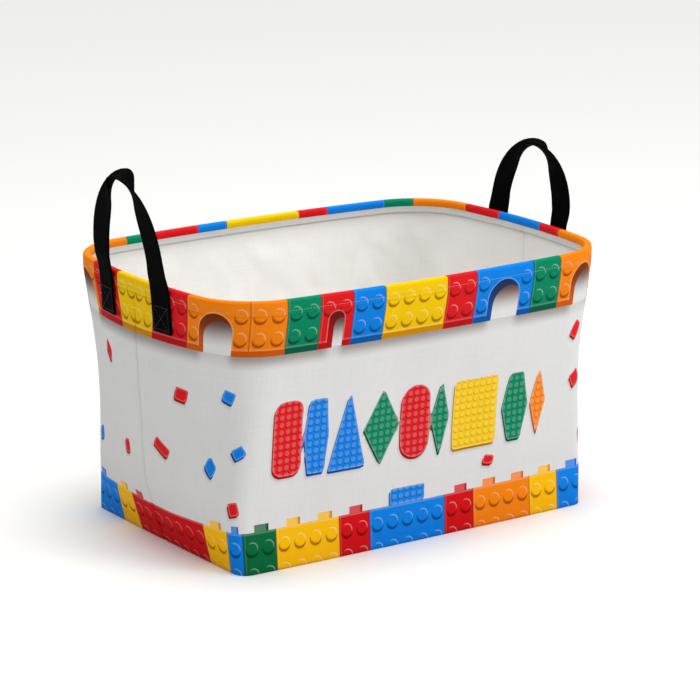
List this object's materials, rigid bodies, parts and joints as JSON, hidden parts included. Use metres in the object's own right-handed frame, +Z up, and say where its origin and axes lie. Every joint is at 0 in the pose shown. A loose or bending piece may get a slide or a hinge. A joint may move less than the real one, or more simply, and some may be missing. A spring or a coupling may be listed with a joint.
{
  "type": "fabric storage bin",
  "caption": "Soft open-topped rectangular storage bin of printed canvas with a lining, a wired rim hem and a webbing loop handle at each end; it folds flat.",
  "frame": {"origin": "centre of the underside, on the surface that the bin stands on", "axes": "+X along the long side to the right, the front faces -Y, +Z up"},
  "size_m": [0.4431, 0.2908, 0.3169],
  "materials": {
    "printed_canvas": "plain-weave canvas with a bright printed block border, matt",
    "lining_cloth": "off-white plain weave, matt",
    "board": "stiff flat insert board, matt",
    "binding_tape": "folded cotton tape",
    "spring_wire": "bright drawn wire",
    "ferrule_metal": "crimped sleeve",
    "white_thread": "spun polyester thread",
    "black_webbing": "flat woven strap, matt",
    "black_thread": "spun polyester thread"
  },
  "bodies": {
    "base": {"base_panel": "printed_canvas", "base_board": "board", "base_lining": "lining_cloth", "front_panel": "printed_canvas", "back_panel": "printed_canvas", "front_lining": "lining_cloth", "back_lining": "lining_cloth", "left_seam_binding": "binding_tape", "right_seam_binding": "binding_tape"},
    "rim": {"front_rim_hem": "printed_canvas", "back_rim_hem": "printed_canvas", "rim_wire": "spring_wire", "rim_ferrule": "ferrule_metal", "hem_stitching": "white_thread", "left_front_tail": "black_webbing", "left_rear_tail": "black_webbing", "right_front_tail": "black_webbing", "right_rear_tail": "black_webbing", "left_handle_stitching": "black_thread", "right_handle_stitching": "black_thread"},
    "left_handle": {"left_handle_loop": "black_webbing"},
    "right_handle": {"right_handle_loop": "black_webbing"}
  },
  "joints": [
    {"name": "rim_collapse", "type": "slide", "parent": "base", "child": "rim", "axis": [0, 0, -1], "range_m": [0, 0.185], "deforming": ["front_panel", "back_panel", "front_lining", "back_lining", "left_seam_binding", "right_seam_binding"]},
    {"name": "left_handle_swing", "type": "hinge", "parent": "rim", "child": "left_handle", "pos_m": [-0.2026, 0, 0.2294], "axis": [0, 1, 0], "range_deg": [-160, 95], "stiffness_Nm_per_rad": 0.03},
    {"name": "right_handle_swing", "type": "hinge", "parent": "rim", "child": "right_handle", "pos_m": [0.2026, 0, 0.2294], "axis": [0, -1, 0], "range_deg": [-160, 95], "stiffness_Nm_per_rad": 0.03}
  ]
}
